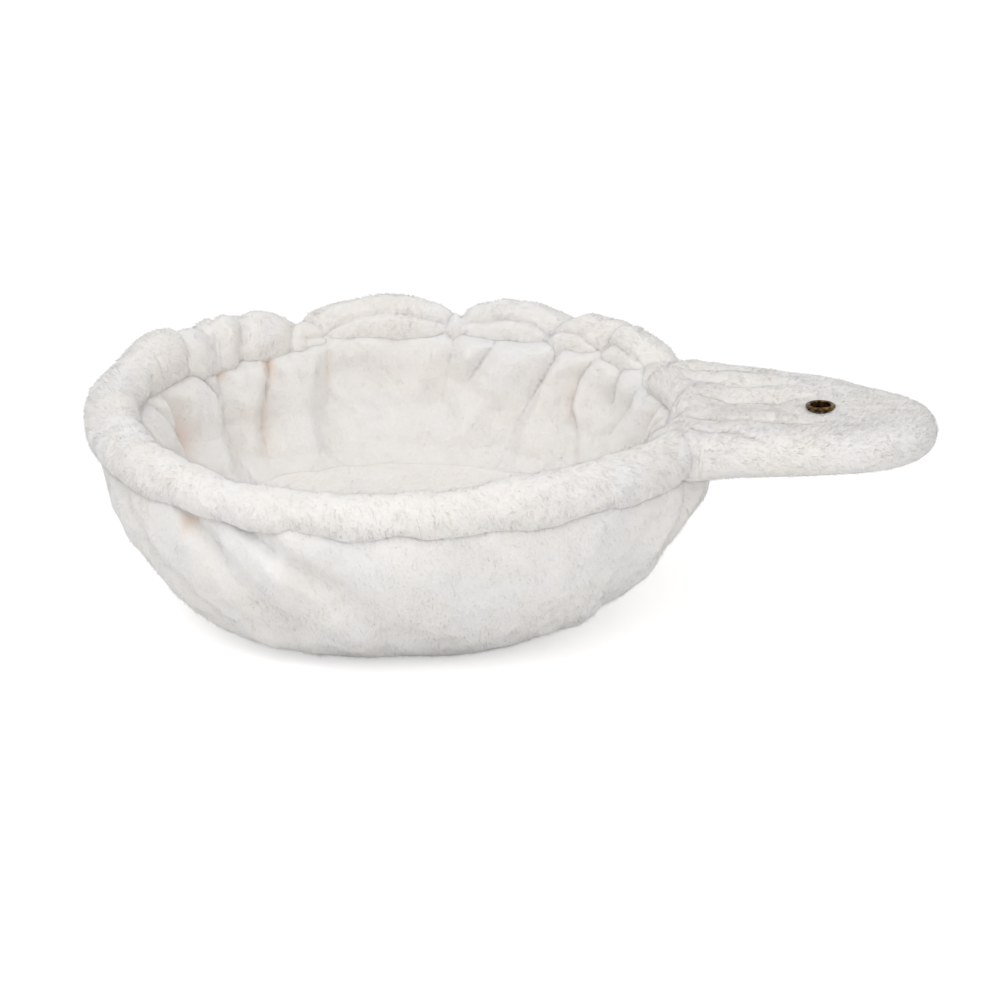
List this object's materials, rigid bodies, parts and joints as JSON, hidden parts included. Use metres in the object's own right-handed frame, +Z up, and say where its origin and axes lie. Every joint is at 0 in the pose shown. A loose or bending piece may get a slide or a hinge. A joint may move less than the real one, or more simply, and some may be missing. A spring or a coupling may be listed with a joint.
{
  "type": "cat tree hammock",
  "caption": "Round plush hammock bowl on a steel hoop, with a padded tongue and an eyelet that bolts it to a cat tree post.",
  "frame": {"origin": "on the axis of the bolt hole, level with the underside of the tongue", "axes": "+Z up along the bolt hole, the tongue's tip towards +X, the bowl towards -X"},
  "size_m": [0.4004, 0.3037, 0.1116],
  "materials": {
    "white_plush": "soft matted pile",
    "polyester_wadding": "matt fibre",
    "foam": "matt open cell",
    "knitted_elastic": "ribbed knit",
    "birch_plywood": "sanded, bare",
    "zinc_plated_steel": "bright zinc",
    "antique_brass": "darkened, worn bright at the edge"
  },
  "bodies": {
    "root": {"hoop_frame": "zinc_plated_steel", "tongue_board": "birch_plywood", "clamp_plates": "zinc_plated_steel", "clamp_screws": "zinc_plated_steel", "bolt_eyelet": "antique_brass", "eyelet_washer": "antique_brass", "tongue_foam_top": "foam", "tongue_foam_bottom": "foam", "tongue_cover_top": "white_plush", "tongue_cover_bottom": "white_plush", "rim_sleeve": "white_plush", "rim_wadding": "polyester_wadding", "elastic_band": "knitted_elastic", "bowl_outer": "white_plush", "bowl_base": "white_plush", "bowl_wadding": "polyester_wadding", "bowl_liner": "white_plush", "liner_floor": "white_plush", "floor_pad": "foam"}
  },
  "joints": []
}
